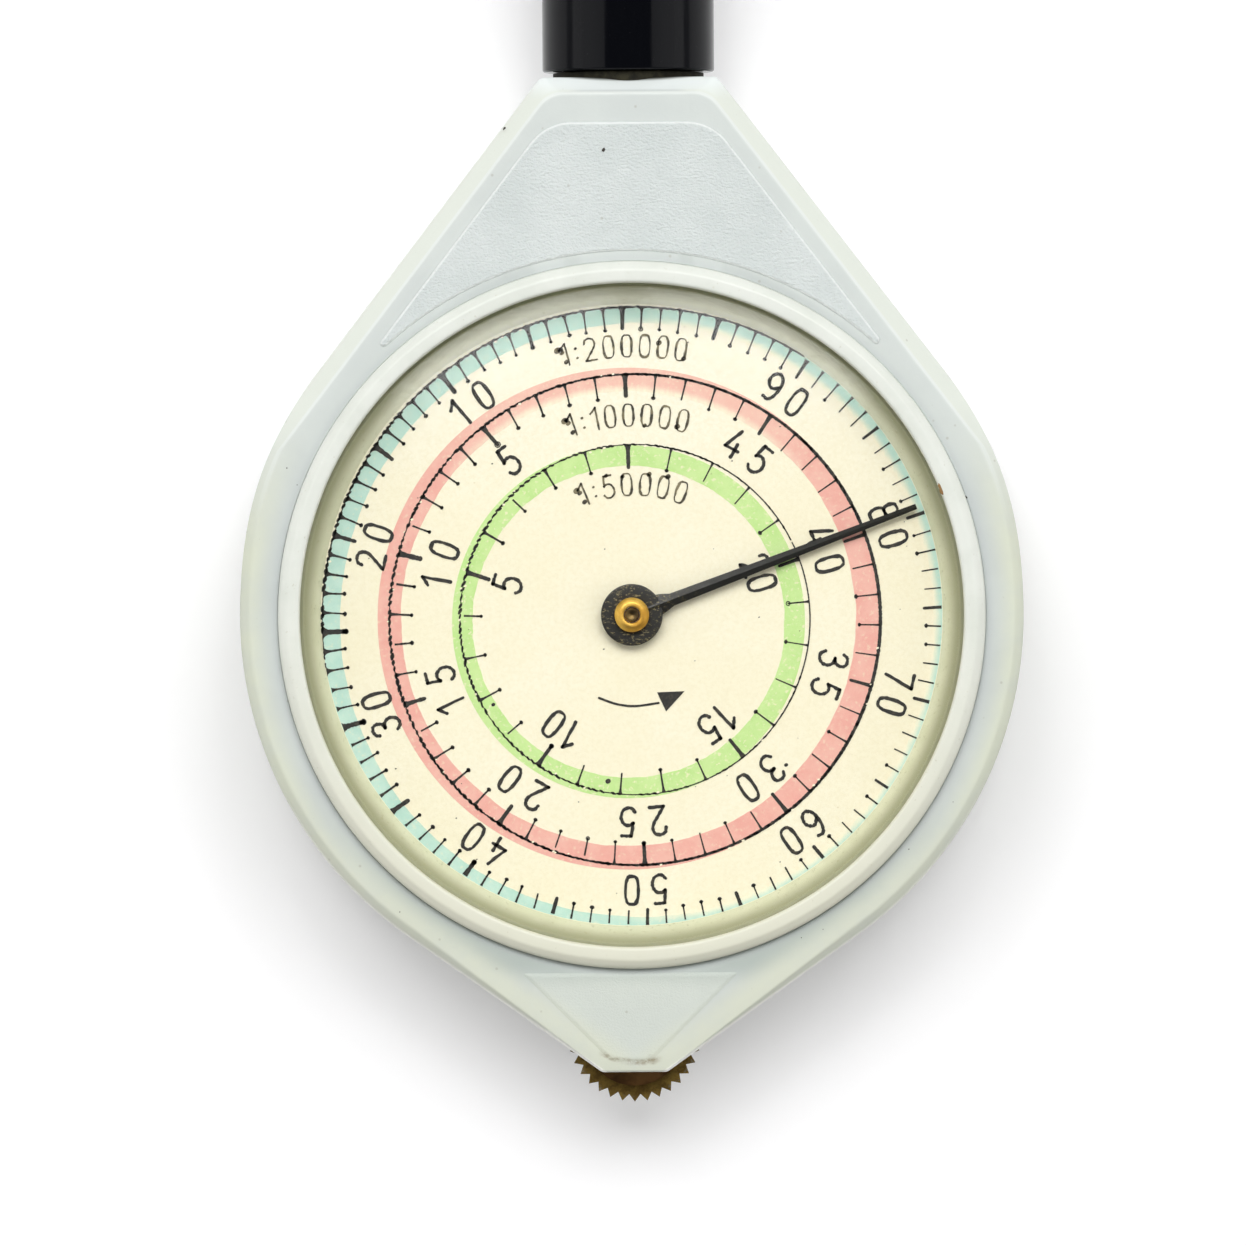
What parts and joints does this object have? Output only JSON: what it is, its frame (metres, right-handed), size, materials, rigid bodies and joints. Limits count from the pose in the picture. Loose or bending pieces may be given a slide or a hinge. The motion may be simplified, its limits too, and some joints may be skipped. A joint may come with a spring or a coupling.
{
  "type": "opisometer map measurer",
  "caption": "Hand-held map measurer: a toothed wheel at the foot drives gears and long hands on number dials, front and back, in a pale pear-shaped case with a round black handle.",
  "frame": {"origin": "under the middle of the object as it lies on its back bezel, at the height of that bezel's rim", "axes": "+Z out of the front dial, +Y from the measuring wheel to the handle, +X to the right seen from the front"},
  "size_m": [0.0468, 0.1114, 0.0128],
  "materials": {
    "case_plastic": "satin moulded plastic, textured fields",
    "bezel_plastic": "satin off-white",
    "crystal": "clear, slightly yellowed",
    "dial_print": "matte cream with printed scales",
    "handle_plastic": "glossy black",
    "hand_black": "worn black",
    "brass": "plain brass",
    "wheel_brass": "darkened brass",
    "steel": "turned steel"
  },
  "bodies": {
    "case": {"front_shell": "case_plastic", "rear_shell": "case_plastic", "handle": "handle_plastic", "front_bezel": "bezel_plastic", "rear_bezel": "bezel_plastic", "front_crystal": "crystal", "rear_crystal": "crystal", "front_dial": "dial_print", "rear_dial": "dial_print", "front_plate": "brass", "rear_plate": "brass", "plate_pillars": "brass", "plate_screws": "steel"},
    "wheel": {"measuring_wheel": "wheel_brass", "wheel_boss": "wheel_brass", "wheel_cheek": "wheel_brass", "wheel_axle": "steel", "wheel_pinion": "steel"},
    "first_shaft": {"first_arbor": "steel", "first_gear": "brass", "first_pinion": "steel"},
    "second_shaft": {"second_arbor": "steel", "second_gear": "brass", "second_pinion": "steel"},
    "hands": {"centre_arbor": "steel", "centre_gear": "brass", "front_hand": "hand_black", "rear_hand": "hand_black", "front_collet": "brass", "rear_collet": "brass"}
  },
  "joints": [
    {"name": "wheel_spin", "type": "hinge", "parent": "case", "child": "wheel", "pos_m": [0, -0.05175, 0.0064], "axis": [0, 0, 1], "continuous": true},
    {"name": "first_shaft_spin", "type": "hinge", "parent": "case", "child": "first_shaft", "pos_m": [0, -0.04455, 0.0064], "axis": [0, 0, 1], "continuous": true},
    {"name": "second_shaft_spin", "type": "hinge", "parent": "case", "child": "second_shaft", "pos_m": [0.00334, -0.03561, 0.0064], "axis": [0, 0, 1], "continuous": true},
    {"name": "hands_spin", "type": "hinge", "parent": "case", "child": "hands", "pos_m": [0, -0.02667, 0.0064], "axis": [0, 0, 1], "continuous": true}
  ],
  "couplings": [
    {"joint": "first_shaft_spin", "follows": "wheel_spin", "ratio": -0.2},
    {"joint": "second_shaft_spin", "follows": "wheel_spin", "ratio": 0.1},
    {"joint": "hands_spin", "follows": "wheel_spin", "ratio": -0.05}
  ]
}
